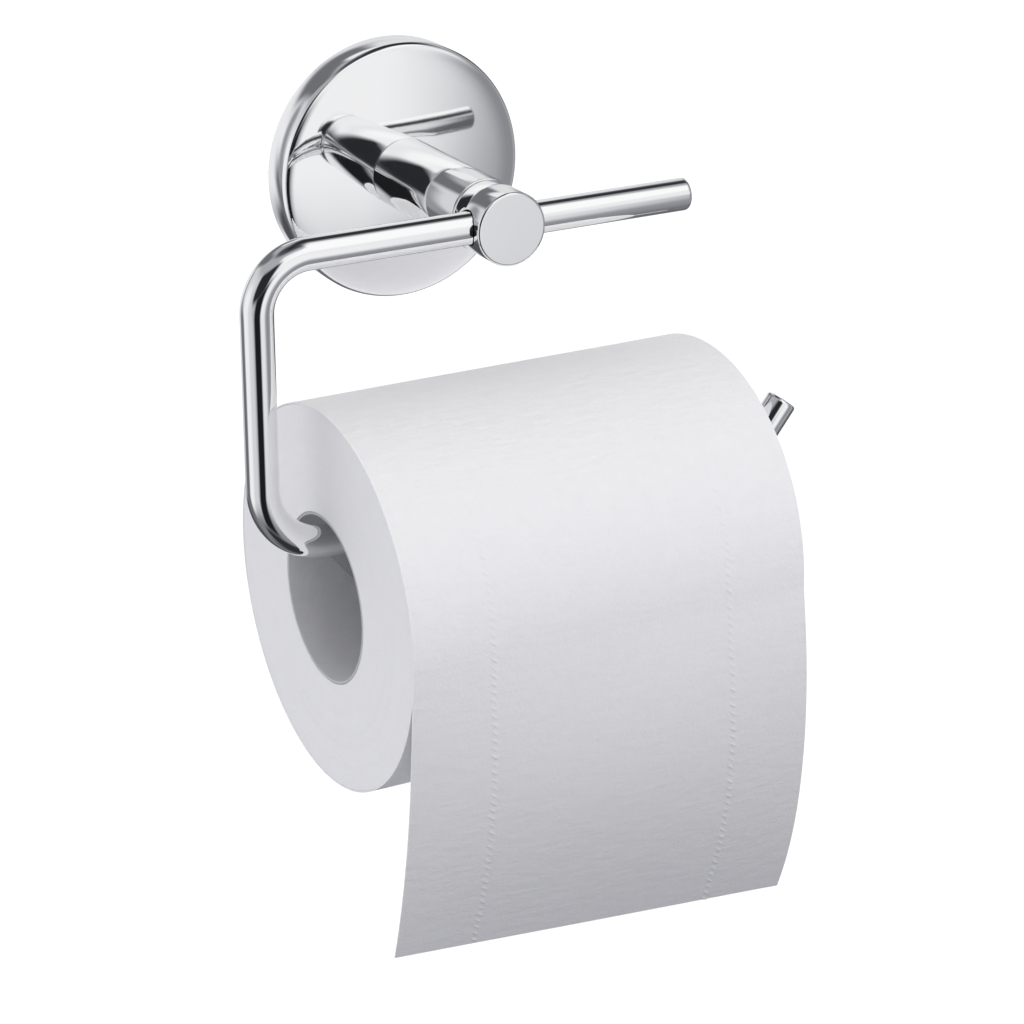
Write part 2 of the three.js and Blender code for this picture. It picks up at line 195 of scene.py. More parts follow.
# Behind the holder: a dark floor, a pale wall and a bright slit, with a dark strip over the wall.
light = panel(light, (-165, -40), (25, 12), 12, 0.08)
light = panel(light, (-166, -5), (18, 10), 12, 0.84)
light = panel(light, (157, 6), (8, 32), 9, 0.75, lean=-0.1)
light = panel(light, (180, 28), (14, 9), 9, 0.17)
# Behind the holder on the left: a dark slope, a bright spot at its end, a dark corner and a grey post.
light = panel(light, (-155, 38), (9, 15), 17, 0.16, lean=1.3)
light = panel(light, (168, 41), (8, 3), 6, 0.85)
light = panel(light, (-134, -28), (10, 14), 16, 0.15, lean=-0.4)
studio_light = panel(light, (-144, 4), (2, 16), 9, 0.30, lean=-0.25)
# Matte surfaces see an even light that is stronger from above, and more of it from both sides.
SIDE_LIGHT_START = 40
SIDE_LIGHT_WIDTH = 50
matte_front = world_ramp(rise, -90, 90, [(-90, 0.20), (-30, 0.22), (0, 0.56), (30, 0.64), (90, 0.60)])
matte_side = world_ramp(rise, -90, 90, [(-50, 0.0), (10, 0.79), (70, 0.0)])
off_front = world_math("ABSOLUTE", bearing)
matte_share = world_math("SUBTRACT", off_front, SIDE_LIGHT_START)
matte_share = world_math("DIVIDE", matte_share, SIDE_LIGHT_WIDTH, clamp=True)
matte_light = world_math("MULTIPLY_ADD", matte_share, matte_side, matte_front)

# Light from low down is a little cooler, and so are the darker parts of the room. The tints are
# changes to red, green and blue.
WARM_ABOVE = 40
COOL_BELOW = -20
LOW_TINT = (-0.01, 0.0, 0.10)
DIM_TINT = (-0.02, 0.0, 0.10)
low_share = world_math("SUBTRACT", WARM_ABOVE, rise)
low_share = world_math("DIVIDE", low_share, WARM_ABOVE - COOL_BELOW, clamp=True)
dim_share = world_math("SUBTRACT", 1, studio_light)
paths = tree.nodes.new("ShaderNodeLightPath")
colour = tree.nodes.new("ShaderNodeCombineColor")
for channel, low_tint, dim_tint in zip(colour.inputs, LOW_TINT, DIM_TINT):
    matte = world_math("MULTIPLY", matte_light, world_math("MULTIPLY_ADD", low_share, low_tint, 1))
    mirrored = world_math("MULTIPLY", studio_light, world_math("MULTIPLY_ADD", dim_share, dim_tint, 1))
    seen = world_mix(paths.outputs["Is Glossy Ray"], matte, mirrored)
    tree.links.new(world_mix(paths.outputs["Is Camera Ray"], seen, 1.0), channel)
backdrop = tree.nodes.new("ShaderNodeBackground")
tree.links.new(colour.outputs[0], backdrop.inputs["Color"])
tree.links.new(backdrop.outputs[0], tree.nodes.new("ShaderNodeOutputWorld").inputs[0])

# A soft strip lamp in front and above, which the metal doesn't mirror.
LAMP_AIM = Vector((0.0, -0.06, 0.05))
lamp = bpy.data.objects.new("soft_lamp", bpy.data.lights.new("soft_lamp", "AREA"))
bpy.context.scene.collection.objects.link(lamp)
lamp.data.shape = "RECTANGLE"
lamp.data.size = 1.2
lamp.data.size_y = 0.3
lamp.data.spread = math.radians(40)
lamp.data.energy = 0.5
lamp.location = (0.0, -0.45, 0.10)
lamp.rotation_euler = (LAMP_AIM - lamp.location).to_track_quat("-Z", "Y").to_euler()
lamp.visible_glossy = False
lamp.visible_camera = False

# ---------------------------------------------------------------------------------------------
# Flange cover. A pressed and turned brass cup, polished and chrome-plated: plain rim, a small
# bevel and a shallow dome. It is pushed over the wall bracket and held by a grub screw below.
# ---------------------------------------------------------------------------------------------
MM = 0.001
ROUND = 160
SMOOTH_ANGLE = 35


def start_piece(name):
    """Names the new primitive, and puts it in edit mode with all of it selected."""
    piece = bpy.context.object
    piece.name = name
    bpy.ops.object.mode_set(mode="EDIT")
    bpy.ops.mesh.select_all(action="SELECT")
    return piece


def end_piece():
    """Closes the edit, merges doubles, turns faces outwards and leaves the place in the mesh."""
    bpy.ops.mesh.select_all(action="SELECT")
    bpy.ops.mesh.remove_doubles(threshold=1e-6)
    bpy.ops.mesh.normals_make_consistent(inside=False)
    bpy.ops.object.mode_set(mode="OBJECT")
    bpy.ops.object.transform_apply(location=True, rotation=True, scale=True)
    bpy.ops.object.shade_smooth_by_angle(angle=math.radians(SMOOTH_ANGLE))
    bpy.ops.object.select_all(action="DESELECT")


def turned(name, profile, axis="Y", segments=ROUND, centre=(0, 0, 0), closed=False):
    """A turned piece: a circle is extruded and resized from one (radius, along) station to the next.

    Stations are in millimetres. A closed profile joins its last ring to its first, as on a tube. An
    open one is capped at both ends."""
    tilt = {"X": (0, math.pi / 2, 0), "Y": (-math.pi / 2, 0, 0)}[axis]
    way = {"X": Vector((1, 0, 0)), "Y": Vector((0, 1, 0))}[axis]
    middle = Vector(centre) * MM
    radius, along = profile[0]
    bpy.ops.mesh.primitive_circle_add(
        vertices=segments, radius=radius * MM, fill_type="NOTHING" if closed else "NGON",
        location=middle + way * along * MM, rotation=tilt)
    piece = start_piece(name)
    bpy.ops.object.mode_set(mode="OBJECT")
    bpy.ops.object.transform_apply(location=True, rotation=True, scale=True)
    bpy.ops.object.mode_set(mode="EDIT")
    last_radius, last_along = radius, along
    for radius, along in profile[1:]:
        bpy.ops.mesh.extrude_region_move(TRANSFORM_OT_translate={"value": way * (along - last_along) * MM})
        if abs(radius - last_radius) > 1e-9:
            grow = radius / last_radius
            factors = [1 if part else grow for part in way]
            bpy.ops.transform.resize(value=factors, center_override=middle + way * along * MM)
        last_radius, last_along = radius, along
    end_piece()
    return piece


def group_socket(group, name, side, kind, value=None):
    """Adds an input or an output to a node group."""
    socket = group.interface.new_socket(name, in_out=side, socket_type=kind)
    if value is not None:
        socket.default_value = value


def add_node(tree, kind, inputs=None, **settings):
    """Adds a node, sets its options and fills or links its inputs."""
    node = tree.nodes.new(kind)
    for key, value in settings.items():
        setattr(node, key, value)
    for key, value in (inputs or {}).items():
        if isinstance(value, bpy.types.NodeSocket):
            tree.links.new(value, node.inputs[key])
        else:
            node.inputs[key].default_value = value
    return node


SPECK_SCALE = 1400.0
SPECK_SHARE = 0.3


def metal_wear_group():
    """Faint wipe marks and specks on polished metal: a roughness and a bump height."""
    group = bpy.data.node_groups.new("metal_wear", "ShaderNodeTree")
    group_socket(group, "Polish", "INPUT", "NodeSocketFloat", 0.03)
    group_socket(group, "Haze", "INPUT", "NodeSocketFloat", 0.02)
    group_socket(group, "Grain Scale", "INPUT", "NodeSocketFloat", 90.0)
    group_socket(group, "Roughness", "OUTPUT", "NodeSocketFloat")
    group_socket(group, "Height", "OUTPUT", "NodeSocketFloat")
    group_socket(group, "Tone", "OUTPUT", "NodeSocketFloat")
    source = group.nodes.new("NodeGroupInput")
    result = group.nodes.new("NodeGroupOutput")
    place = add_node(group, "ShaderNodeTexCoord").outputs["Object"]
    wipes = add_node(group, "ShaderNodeTexNoise", {
        "Vector": place, "Scale": source.outputs["Grain Scale"], "Detail": 4.0, "Roughness": 0.6})
    specks = add_node(group, "ShaderNodeTexNoise", {"Vector": place, "Scale": SPECK_SCALE, "Detail": 2.0})
    rough = add_node(group, "ShaderNodeMath", {
        0: wipes.outputs[0], 1: source.outputs["Haze"],
        2: source.outputs["Polish"]}, operation="MULTIPLY_ADD")
    both = add_node(group, "ShaderNodeMath", {
        0: specks.outputs[0], 1: SPECK_SHARE, 2: wipes.outputs[0]}, operation="MULTIPLY_ADD")
    group.links.new(rough.outputs[0], result.inputs["Roughness"])
    group.links.new(both.outputs[0], result.inputs["Height"])
    group.links.new(wipes.outputs[0], result.inputs["Tone"])
    return group


metal_wear = metal_wear_group()


def metal(name, light, dark, polish, haze, bump, grain=90.0):
    """Bare or plated metal with its own polish, two tones that drift and a very small unevenness."""
    material = bpy.data.materials.new(name)
    material.use_nodes = True
    tree = material.node_tree
    shader = tree.nodes["Principled BSDF"]
    shader.inputs["Metallic"].default_value = 1.0
    wear = add_node(tree, "ShaderNodeGroup", node_tree=metal_wear)
    wear.inputs["Polish"].default_value = polish
    wear.inputs["Haze"].default_value = haze
    wear.inputs["Grain Scale"].default_value = grain
    tone = add_node(tree, "ShaderNodeMix", {
        "Factor": wear.outputs["Tone"], "A": (*dark, 1), "B": (*light, 1)}, data_type="RGBA")
    relief = add_node(tree, "ShaderNodeBump", {
        "Height": wear.outputs["Height"], "Strength": bump, "Distance": 0.0001})
    tree.links.new(tone.outputs["Result"], shader.inputs["Base Color"])
    tree.links.new(wear.outputs["Roughness"], shader.inputs["Roughness"])
    tree.links.new(relief.outputs[0], shader.inputs["Normal"])
    return material


def give(piece, material, body, slot, *replaced):
    """The material, and what the frame needs to know of a new piece."""
    piece.data.materials.clear()
    piece.data.materials.append(material)
    if body:
        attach(piece, body)
    if replaced:
        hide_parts(*replaced)


chrome = metal(
    "polished_chrome", (0.975, 0.975, 0.975), (0.95, 0.95, 0.95), polish=0.03, haze=0.02, bump=0.02)

FLANGE_RADIUS = 32.5
FLANGE_SIDE = 8.25
FLANGE_FACE_RADIUS = 32.0
FLANGE_FACE = 9.4
DOME_RISE = 1.56
EDGE_START = 23.0
EDGE_DROP = 0.42
PAD_RADIUS = 9.3
FLANGE_SKIN = 1.6
BOLT_HOLE = 2.8
CUP_RADIUS = 30.1


def dome_depth(radius):
    """How far the flange's face stands out from the wall at a radius."""
    near_edge = max(0.0, (radius - EDGE_START) / (FLANGE_FACE_RADIUS - EDGE_START))
    dome = DOME_RISE * (1 - (radius / FLANGE_FACE_RADIUS) ** 2)
    return FLANGE_FACE + dome + EDGE_DROP * (1 - near_edge ** 5)


# Each corner of a profile is rounded in two or three short steps.
PAD_DEPTH = dome_depth(PAD_RADIUS)
flange_profile = [(BOLT_HOLE, -PAD_DEPTH)]
face_radii = (PAD_RADIUS, 12, 15, 18, 21, EDGE_START, 24.5, 26, 27.5, 29, 30, 31, 31.75)
flange_profile += [(r, -dome_depth(r)) for r in face_radii]
flange_profile += [
    (FLANGE_FACE_RADIUS - 0.05, -FLANGE_FACE + 0.04), (FLANGE_FACE_RADIUS + 0.08, -FLANGE_FACE + 0.2),
    (FLANGE_RADIUS - 0.08, -FLANGE_SIDE - 0.25), (FLANGE_RADIUS, -FLANGE_SIDE), (FLANGE_RADIUS, -0.25),
    (FLANGE_RADIUS - 0.1, -0.06), (FLANGE_RADIUS - 0.35, 0), (CUP_RADIUS + 0.2, 0), (CUP_RADIUS, -0.2)]
flange_profile += [(r, FLANGE_SKIN - dome_depth(r)) for r in (CUP_RADIUS, 26, 22, 18, 14, 10, BOLT_HOLE)]
flange_profile += [flange_profile[0]]
flange = turned("flange_cover_shell", flange_profile, closed=True)
give(flange, chrome, "mount", "polished_chrome", "flange_cover")

# ---------------------------------------------------------------------------------------------
# Post and head. Two turned brass bars of one diameter, chrome-plated. The post is bolted to the
# flange from behind. The head is cross-drilled for the bar, and a thin plated ring parts the two.
# ---------------------------------------------------------------------------------------------
POST_RADIUS = 9.0
POST_START = PAD_DEPTH + 0.2
POST_END = 53.2
BOLT_HOLE_END = 24.8
STUD_HOLE = 3.3
STUD_HOLE_END = 42.7
DRILL_TIP = 0.5
post_profile = [
    (BOLT_HOLE, -POST_START), (POST_RADIUS - 0.2, -POST_START), (POST_RADIUS - 0.05, -POST_START - 0.05),
    (POST_RADIUS, -POST_START - 0.2), (POST_RADIUS, 0.3 - POST_END), (POST_RADIUS - 0.07, 0.1 - POST_END),
    (POST_RADIUS - 0.22, -POST_END), (STUD_HOLE, -POST_END), (STUD_HOLE, -STUD_HOLE_END),
    (DRILL_TIP, 0.1 - STUD_HOLE_END), (DRILL_TIP, -BOLT_HOLE_END - 0.1), (BOLT_HOLE, -BOLT_HOLE_END),
    (BOLT_HOLE, -POST_START)]
post = turned("post_bar", post_profile, closed=True)
give(post, chrome, "mount", "polished_chrome", "post")

RING_RADIUS = 8.85
RING_HOLE = 3.4
RING_START = 53.35
RING_END = 54.05
ring_profile = [
    (RING_HOLE, -RING_START), (RING_RADIUS - 0.25, -RING_START), (RING_RADIUS - 0.07, -RING_START - 0.07),
    (RING_RADIUS, -RING_START - 0.2), (RING_RADIUS, 0.2 - RING_END), (RING_RADIUS - 0.07, 0.07 - RING_END),
    (RING_RADIUS - 0.25, -RING_END), (RING_HOLE, -RING_END), (RING_HOLE, -RING_START)]
groove_ring = turned("groove_ring", ring_profile, closed=True)
give(groove_ring, chrome, "mount", "polished_chrome", "spacer_ring")

HEAD_START = 54.2
HEAD_FACE = 66.9
BAR_Y = -60.5
BORE_RADIUS = 4.3
BORE_SIDES = 96
BORE_TOOL_LENGTH = 30
head_profile = [
    (POST_RADIUS - 0.22, -HEAD_START), (POST_RADIUS - 0.07, -HEAD_START - 0.1),
    (POST_RADIUS, -HEAD_START - 0.3), (POST_RADIUS, 0.58 - HEAD_FACE),
    (POST_RADIUS - 0.08, 0.28 - HEAD_FACE), (POST_RADIUS - 0.28, 0.08 - HEAD_FACE),
    (POST_RADIUS - 0.58, -HEAD_FACE), (POST_RADIUS - 0.65, -HEAD_FACE)]
head = turned("head_block", head_profile)
bpy.ops.mesh.primitive_cylinder_add(
    vertices=BORE_SIDES, radius=BORE_RADIUS * MM, depth=BORE_TOOL_LENGTH * MM,
    location=(0, BAR_Y * MM, 0), rotation=(0, math.pi / 2, 0))
bore_tool = bpy.context.object
head.select_set(True)
bpy.context.view_layer.objects.active = head
bore_cut = head.modifiers.new("bore", "BOOLEAN")
bore_cut.object = bore_tool
bore_cut.operation = "DIFFERENCE"
bore_cut.solver = "EXACT"
bpy.ops.object.modifier_apply(modifier="bore")
bpy.data.objects.remove(bore_tool)
bpy.ops.object.select_all(action="DESELECT")
give(head, chrome, "mount", "polished_chrome", "head")

# ---------------------------------------------------------------------------------------------
# Bar. One 8 mm brass rod, bent three times, with rounded ends, polished and chrome-plated. It goes
# through the head and is pinched there by a stud. Its lower run rises a little to the right.
# ---------------------------------------------------------------------------------------------
BAR_RADIUS = 4.0
BAR_SIDES = 72
BEND_RADIUS = 13.0
LOWER_BEND_RADIUS = 16.0
STUB_END = 51.1
LEG_X = -63.2
LOWER_RUN_LEFT = -71.8
LOWER_RUN_RIGHT = -70.3
TIP_END = (81.1, -58.4)
TIP_ANGLE = math.radians(52)
# The rounding of the bar's ends: a radius, and how far in from the end it is.
END_ROUNDING = [(3.2, 0.0), (3.25, 0.0), (3.62, 0.08), (3.86, 0.3), (3.97, 0.6), (BAR_RADIUS, 0.95)]


def push(vector):
    """Draws the bar's open end on by a length in millimetres."""
    bpy.ops.mesh.extrude_region_move(TRANSFORM_OT_translate={"value": Vector(vector) * MM})


def swell(factor, place):
    """Widens or narrows the bar's open end about a place."""
    bpy.ops.transform.resize(value=(factor,) * 3, center_override=Vector(place) * MM)


bpy.ops.mesh.primitive_circle_add(
    vertices=BAR_SIDES, radius=END_ROUNDING[0][0] * MM, fill_type="NOTHING",
    location=(STUB_END * MM, BAR_Y * MM, 0), rotation=(0, math.pi / 2, 0))
bar = start_piece("bent_bar")
bpy.ops.object.mode_set(mode="OBJECT")
bpy.ops.object.transform_apply(location=True, rotation=True, scale=True)
bpy.ops.object.mode_set(mode="EDIT")
for (before, start), (radius, inset) in zip(END_ROUNDING, END_ROUNDING[1:]):
    push((start - inset, 0, 0))
    swell(radius / before, (STUB_END - inset, BAR_Y, 0))
bend_x = LEG_X + BEND_RADIUS
push((bend_x - (STUB_END - END_ROUNDING[-1][1]), 0, 0))
bpy.ops.mesh.spin(
    steps=28, angle=math.pi / 2, axis=(0, 1, 0),
    center=Vector((bend_x, BAR_Y, -BEND_RADIUS)) * MM)
# The corners where the lower run's middle line would meet the leg's and the tip's.
tip_reach = (TIP_END[1] - LOWER_RUN_RIGHT) / math.tan(TIP_ANGLE)
tip_corner = Vector((TIP_END[0] - tip_reach, BAR_Y, LOWER_RUN_RIGHT))
leg_corner = Vector((LEG_X, BAR_Y, LOWER_RUN_LEFT))
run_way = (tip_corner - leg_corner).normalized()
run_rise = math.atan2(run_way.z, run_way.x)
run_up = Vector((-run_way.z, 0, run_way.x))
leg_turn = math.pi / 2 + run_rise
leg_tangent = LOWER_BEND_RADIUS * math.tan(leg_turn / 2)
push((0, 0, LOWER_RUN_LEFT + leg_tangent + BEND_RADIUS))
bpy.ops.mesh.spin(
    steps=32, angle=leg_turn, axis=(0, 1, 0),
    center=Vector((LEG_X + LOWER_BEND_RADIUS, BAR_Y, LOWER_RUN_LEFT + leg_tangent)) * MM)
tip_turn = TIP_ANGLE - run_rise
tip_tangent = BEND_RADIUS * math.tan(tip_turn / 2)
push(run_way * ((tip_corner - leg_corner).length - leg_tangent - tip_tangent))
bpy.ops.mesh.spin(
    steps=18, angle=tip_turn, axis=(0, 1, 0),
    center=(tip_corner - run_way * tip_tangent + run_up * BEND_RADIUS) * MM)
tip_way = Vector((math.cos(TIP_ANGLE), 0, math.sin(TIP_ANGLE)))
tip_start = tip_corner + tip_way * tip_tangent
tip_end = Vector((TIP_END[0], BAR_Y, TIP_END[1]))
push(tip_way * ((tip_end - tip_start).length - END_ROUNDING[-1][1]))
for (before, start), (radius, inset) in zip(END_ROUNDING[::-1], END_ROUNDING[-2::-1]):
    push(tip_way * (start - inset))
    swell(radius / before, tip_end - tip_way * inset)
bpy.ops.mesh.select_all(action="SELECT")
bpy.ops.mesh.fill_holes(sides=0)
end_piece()
give(bar, chrome, "mount", "polished_chrome", "holder_arm")

# ---------------------------------------------------------------------------------------------
# Core. A tube of grey card, wound in a spiral from a flat strip, so that one seam runs round its
# inside. It hangs on the bar, and its cut ends are slightly rounded.
# ---------------------------------------------------------------------------------------------
ROLL_Y = BAR_Y
ROLL_Z = -86.5
ROLL_LEFT = -48.2
ROLL_RIGHT = 57.7
CORE_INNER = 20.35
CORE_OUTER = 21.15
CLOUD_SCALE = 260.0
CREASE_SCALE = 500.0
CREASE_STRETCH = (0.3, 1.0, 1.0)


def paper_material(name, light, dark, fibre_scale, fibre_bump, roughness, crepe=0.0):
    """Matte paper or card: a cloudy tone, fine fibres and, where crepe isn't 0, soft creases along X."""
    material = bpy.data.materials.new(name)
    material.use_nodes = True
    tree = material.node_tree
    shader = tree.nodes["Principled BSDF"]
    shader.inputs["Roughness"].default_value = roughness
    shader.inputs["Specular IOR Level"].default_value = 0.15
    place = add_node(tree, "ShaderNodeTexCoord").outputs["Object"]
    clouds = add_node(tree, "ShaderNodeTexNoise", {
        "Vector": place, "Scale": CLOUD_SCALE, "Detail": 5.0, "Roughness": 0.6})
    fibres = add_node(tree, "ShaderNodeTexNoise", {
        "Vector": place, "Scale": fibre_scale, "Detail": 6.0, "Roughness": 0.7})
    tone = add_node(tree, "ShaderNodeMix", {
        "Factor": clouds.outputs[0], "A": (*dark, 1), "B": (*light, 1)}, data_type="RGBA")
    stretched = add_node(tree, "ShaderNodeVectorMath", {0: place, 1: CREASE_STRETCH}, operation="MULTIPLY")
    creases = add_node(tree, "ShaderNodeTexNoise", {
        "Vector": stretched.outputs[0], "Scale": CREASE_SCALE, "Detail": 3.0})
    height = add_node(tree, "ShaderNodeMath", {
        0: creases.outputs[0], 1: crepe, 2: fibres.outputs[0]}, operation="MULTIPLY_ADD")
    relief = add_node(tree, "ShaderNodeBump", {
        "Height": height.outputs[0], "Strength": fibre_bump, "Distance": 0.0003})
    tree.links.new(tone.outputs["Result"], shader.inputs["Base Color"])
    tree.links.new(relief.outputs[0], shader.inputs["Normal"])
    return material


SEAM_LINE_SHARE = 0.006
SEAM_SHADE_SHARE = 0.15


def seam_and_painted_shade_group():
    """A strip's edge that winds round a tube along X: a thin dark line, and a painted shade beside it."""
    group = bpy.data.node_groups.new("spiral_seam_and_painted_shade", "ShaderNodeTree")
    group_socket(group, "Tube Y", "INPUT", "NodeSocketFloat", 0.0)
    group_socket(group, "Tube Z", "INPUT", "NodeSocketFloat", 0.0)
    group_socket(group, "Turns per Metre", "INPUT", "NodeSocketFloat", 9.0)
    group_socket(group, "Start", "INPUT", "NodeSocketFloat", 0.0)
    group_socket(group, "Line", "OUTPUT", "NodeSocketFloat")
    group_socket(group, "Shade", "OUTPUT", "NodeSocketFloat")
    source = group.nodes.new("NodeGroupInput")
    result = group.nodes.new("NodeGroupOutput")
    object_place = add_node(group, "ShaderNodeTexCoord").outputs["Object"]
    place = add_node(group, "ShaderNodeSeparateXYZ", {0: object_place})
    from_y = add_node(group, "ShaderNodeMath", {
        0: place.outputs[1], 1: source.outputs["Tube Y"]}, operation="SUBTRACT")
    from_z = add_node(group, "ShaderNodeMath", {
        0: place.outputs[2], 1: source.outputs["Tube Z"]}, operation="SUBTRACT")
    angle = add_node(group, "ShaderNodeMath", {
        0: from_z.outputs[0], 1: from_y.outputs[0]}, operation="ARCTAN2")
    turn_share = add_node(group, "ShaderNodeMath", {
        0: angle.outputs[0], 1: 1 / (2 * math.pi), 2: source.outputs["Start"]}, operation="MULTIPLY_ADD")
    wound = add_node(group, "ShaderNodeMath", {
        0: place.outputs[0], 1: source.outputs["Turns per Metre"],
        2: turn_share.outputs[0]}, operation="MULTIPLY_ADD")
    phase = add_node(group, "ShaderNodeMath", {0: wound.outputs[0]}, operation="FRACT")
    line = add_node(group, "ShaderNodeMapRange", {
        0: phase.outputs[0], 1: 0.0, 2: SEAM_LINE_SHARE, 3: 1.0, 4: 0.0})
    shade = add_node(group, "ShaderNodeMapRange", {
        0: phase.outputs[0], 1: 0.0, 2: SEAM_SHADE_SHARE, 3: 1.0, 4: 0.0})
    group.links.new(line.outputs[0], result.inputs["Line"])
    group.links.new(shade.outputs[0], result.inputs["Shade"])
    return group


SEAM_LINE_AND_SHADE_DARK = (0.22, 0.22, 0.23, 1)
SEAM_SHADE_DEPTH = 0.28
SEAM_LINE_DEPTH = 0.2
card = paper_material(
    "core_card", (0.602, 0.604, 0.617), (0.502, 0.504, 0.517),
    fibre_scale=900.0, fibre_bump=0.35, roughness=0.9)
tree = card.node_tree
seam = add_node(tree, "ShaderNodeGroup", node_tree=seam_and_painted_shade_group())
seam.inputs["Tube Y"].default_value = ROLL_Y * MM
seam.inputs["Tube Z"].default_value = ROLL_Z * MM
seam.inputs["Turns per Metre"].default_value = 9.4
seam.inputs["Start"].default_value = 0.336
plain_tone = tree.nodes["Principled BSDF"].inputs["Base Color"].links[0].from_socket
# Painted shade: beside the seam's dark line the card's colour is darkened in a band that stands in for
# shade inside the tube. The thin line itself is the strip's real joint.
painted_shade = add_node(tree, "ShaderNodeMath", {
    0: seam.outputs["Shade"], 1: SEAM_SHADE_DEPTH}, operation="MULTIPLY")
line_and_painted_shade = add_node(tree, "ShaderNodeMath", {
    0: seam.outputs["Line"], 1: SEAM_LINE_DEPTH, 2: painted_shade.outputs[0]}, operation="MULTIPLY_ADD")
seam_and_painted_shade_tone = add_node(tree, "ShaderNodeMix", {
    "Factor": line_and_painted_shade.outputs[0], "A": plain_tone, "B": SEAM_LINE_AND_SHADE_DARK}, data_type="RGBA")
tree.links.new(seam_and_painted_shade_tone.outputs["Result"], tree.nodes["Principled BSDF"].inputs["Base Color"])
core_profile = [
    (CORE_INNER, ROLL_LEFT + 0.35), (CORE_INNER + 0.1, ROLL_LEFT + 0.1),
    (CORE_OUTER - 0.2, ROLL_LEFT + 0.05), (CORE_OUTER, ROLL_LEFT + 0.3),
    (CORE_OUTER, ROLL_RIGHT - 0.3), (CORE_OUTER - 0.2, ROLL_RIGHT - 0.05),
    (CORE_INNER + 0.1, ROLL_RIGHT - 0.1), (CORE_INNER, ROLL_RIGHT - 0.35),
    (CORE_INNER, ROLL_LEFT + 0.35)]
core = turned("card_core", core_profile, axis="X", segments=128, centre=(0, ROLL_Y, ROLL_Z), closed=True)
give(core, card, "roll", "core_card", "core_tube")

# ---------------------------------------------------------------------------------------------
# Wound paper. Hundreds of turns of soft white tissue on the core. Its ends are cut square, and
# the edges of the turns stand a little in and out.
# ---------------------------------------------------------------------------------------------
WINDING_OUTER = 47.2
FACE_RINGS = 26
FACE_UNEVEN = 0.09
cut_tissue = paper_material(
    "cut_tissue", (0.905, 0.903, 0.908), (0.865, 0.863, 0.868),
    fibre_scale=1500.0, fibre_bump=0.42, roughness=0.95)
random.seed(11)
WINDING_INNER = CORE_OUTER + 0.05
FACE_WIDTH = WINDING_OUTER - 0.6 - WINDING_INNER
turns_out = [WINDING_INNER + FACE_WIDTH * step / FACE_RINGS for step in range(FACE_RINGS + 1)]
left_face = [(r, ROLL_LEFT + 0.06 + FACE_UNEVEN * random.random()) for r in turns_out]
right_face = [(r, ROLL_RIGHT - 0.06 - FACE_UNEVEN * random.random()) for r in turns_out]
outside = [
    (WINDING_OUTER - 0.05, ROLL_LEFT + 0.08), (WINDING_OUTER, ROLL_LEFT + 0.2),
    (WINDING_OUTER, ROLL_RIGHT - 0.2), (WINDING_OUTER - 0.05, ROLL_RIGHT - 0.08)]
winding_profile = left_face + outside + right_face[::-1] + left_face[:1]
winding = turned("wound_paper", winding_profile, axis="X", centre=(0, ROLL_Y, ROLL_Z), closed=True)
give(winding, cut_tissue, "roll", "tissue_paper", "paper_winding")

# ---------------------------------------------------------------------------------------------
# Free sheet and last turn. The outermost tissue goes over the top of the roll and hangs down in
# front, where its foot curls back. Two columns of small slanted ridges press its plies together.
# ---------------------------------------------------------------------------------------------
SHEET_OUTER = 47.6
SHEET_THICKNESS = 0.36
SHEET_SMOOTH_ANGLE = 50
SHEET_DEPTH = 80.9
SHEET_SKEW = 5.5
SHEET_CROWN = 2.2
SHEET_LEAN = -1.6
SHEET_TWIST = -4.4
SHEET_CURL = 11.8
CURL_POWER = 2.7
CROWN_POWER = 1.5
LEAN_EASE = 0.9
LEAN_START = 0.04
# Two slow unevennesses: their depth, and how fast they go by across and along the sheet.
RIPPLE_DEPTH = 0.5
RIPPLE_PACE = (0.02, 0.025)
SOFT_DEPTH = 0.08
SOFT_PACE = (0.035, 0.03)
ROLL_MIDDLE = (ROLL_LEFT + ROLL_RIGHT) / 2
ROLL_WIDTH = ROLL_RIGHT - ROLL_LEFT
RIDGE_COLUMNS = (-27.4, 36.4)
RIDGE_PITCH = 2.07
RIDGE_RISE = 0.30
RIDGE_HALF_WIDTH = 0.28
RIDGE_HALF_LENGTH = 0.72
RIDGE_SLANT = 0.72
RIDGE_REACH = 1.3
RIDGE_STRONGEST = 1.4
RIDGE_TOP = -52.0
tissue = paper_material(
    "tissue_paper", (0.935, 0.932, 0.943), (0.895, 0.892, 0.903),
    fibre_scale=1500.0, fibre_bump=0.8, roughness=0.95, crepe=1.5)


def ridge(x, along):
    """How far a point of the sheet stands out, in millimetres. Along is the length down the sheet.

    Every other ridge is weaker, all of them grow stronger downwards, and no two are quite alike."""
    rise = 0.0
    for column in RIDGE_COLUMNS:
        across = x - column
        if abs(across) > RIDGE_REACH or along < RIDGE_TOP:
            continue
        step = along - RIDGE_SLANT * across
        row = round(step / RIDGE_PITCH)
        off = (step - row * RIDGE_PITCH) / RIDGE_HALF_WIDTH
        end = (across - 0.12 * math.sin(row * 7.1)) / RIDGE_HALF_LENGTH
        strength = 1.0 if row % 2 else 0.7
        strength *= 0.2 + 0.8 * (along - RIDGE_TOP) / -RIDGE_TOP
        strength *= 0.8 + 0.2 * math.sin(row * 3.7 + column)
        rise += RIDGE_RISE * min(strength, RIDGE_STRONGEST) * math.exp(-off * off) * math.exp(-end ** 4)
    return rise


